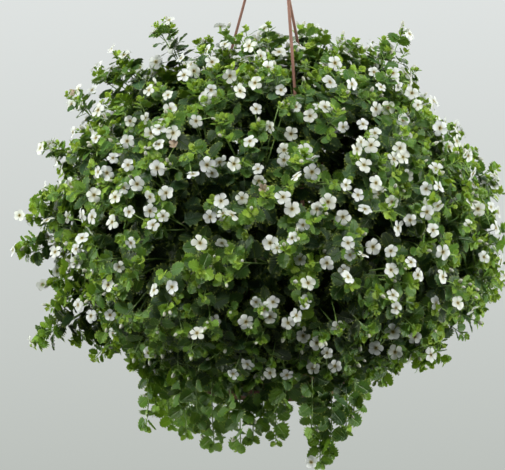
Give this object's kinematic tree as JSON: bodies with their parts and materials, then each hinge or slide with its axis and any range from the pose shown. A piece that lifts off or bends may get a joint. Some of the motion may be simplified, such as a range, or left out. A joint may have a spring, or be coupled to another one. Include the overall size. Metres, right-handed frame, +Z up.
{
  "type": "potted bacopa",
  "caption": "Hanging pot of white bacopa: a wide domed bush of small toothed leaves and five-petalled blooms over a round plastic pot on a hook and strands.",
  "frame": {"origin": "top of the inside of the hook, where it bears on what it hangs from", "axes": "+Z up, -Y towards the front of the plant, +X to its right seen from the front"},
  "size_m": [0.4783, 0.4792, 0.6145],
  "materials": {
    "plastic": "satin moulded plastic",
    "soil": "moist peat potting mix",
    "foliage": "matt green leaves",
    "petals": "soft white petals"
  },
  "bodies": {
    "root": {"pot": "plastic", "hook": "plastic", "hanger_strand_1": "plastic", "hanger_strand_2": "plastic", "hanger_strand_3": "plastic", "soil": "soil", "leafy_stem_01": "foliage", "leafy_stem_02": "foliage", "leafy_stem_03": "foliage", "leafy_stem_04": "foliage", "leafy_stem_05": "foliage", "leafy_stem_06": "foliage", "leafy_stem_07": "foliage", "leafy_stem_08": "foliage", "leafy_stem_09": "foliage", "leafy_stem_10": "foliage", "leafy_stem_11": "foliage", "leafy_stem_12": "foliage", "leafy_stem_13": "foliage", "leafy_stem_14": "foliage", "leafy_stem_15": "foliage", "leafy_stem_16": "foliage", "leafy_stem_17": "foliage", "leafy_stem_18": "foliage", "leafy_stem_19": "foliage", "trailing_stem_01": "foliage", "trailing_stem_02": "foliage", "trailing_stem_03": "foliage", "trailing_stem_04": "foliage", "trailing_stem_05": "foliage", "trailing_stem_06": "foliage", "bloom_spray_01": "petals", "bloom_spray_02": "petals", "bloom_spray_03": "petals", "bloom_spray_04": "petals", "bloom_spray_05": "petals", "bloom_spray_06": "petals", "bloom_spray_07": "petals", "bloom_spray_08": "petals", "bloom_spray_09": "petals", "bloom_spray_10": "petals", "bloom_spray_11": "petals", "bloom_spray_12": "petals", "bloom_spray_13": "petals", "bloom_spray_14": "petals", "bloom_spray_15": "petals", "bloom_spray_16": "petals", "bloom_spray_17": "petals", "bloom_spray_18": "petals", "bloom_spray_19": "petals"}
  },
  "joints": []
}
